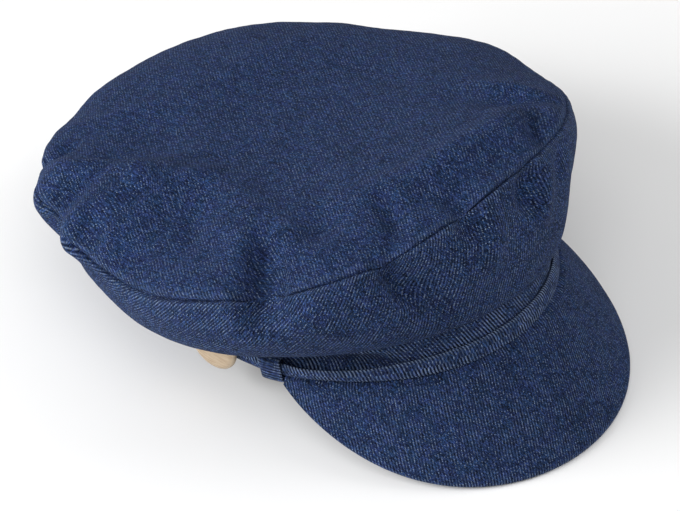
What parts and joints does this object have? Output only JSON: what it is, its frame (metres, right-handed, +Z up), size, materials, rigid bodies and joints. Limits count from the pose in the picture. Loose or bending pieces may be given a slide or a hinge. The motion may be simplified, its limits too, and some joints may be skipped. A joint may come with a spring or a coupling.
{
  "type": "baker boy cap",
  "caption": "Soft wide-crowned denim cap with a narrow head band, a steep rounded peak and a strap held by loops and buttons, lying on its peak and band",
  "frame": {"origin": "centre of the outline on the table, at the height of the table", "axes": "+Z up from the table, the peak toward -Y, the wearer's right side toward -X"},
  "size_m": [0.2443, 0.3077, 0.1223],
  "materials": {
    "denim": "matt navy twill with pale flecks",
    "band_denim": "matt navy twill, ribs across the band",
    "pale_wood": "smooth satin beige"
  },
  "bodies": {
    "root": {"top_panel": "denim", "side_panel": "denim", "head_band": "band_denim", "peak": "denim", "strap": "denim", "keeper_right": "denim", "keeper_left": "denim", "button_right": "pale_wood", "button_left": "pale_wood"}
  },
  "joints": []
}
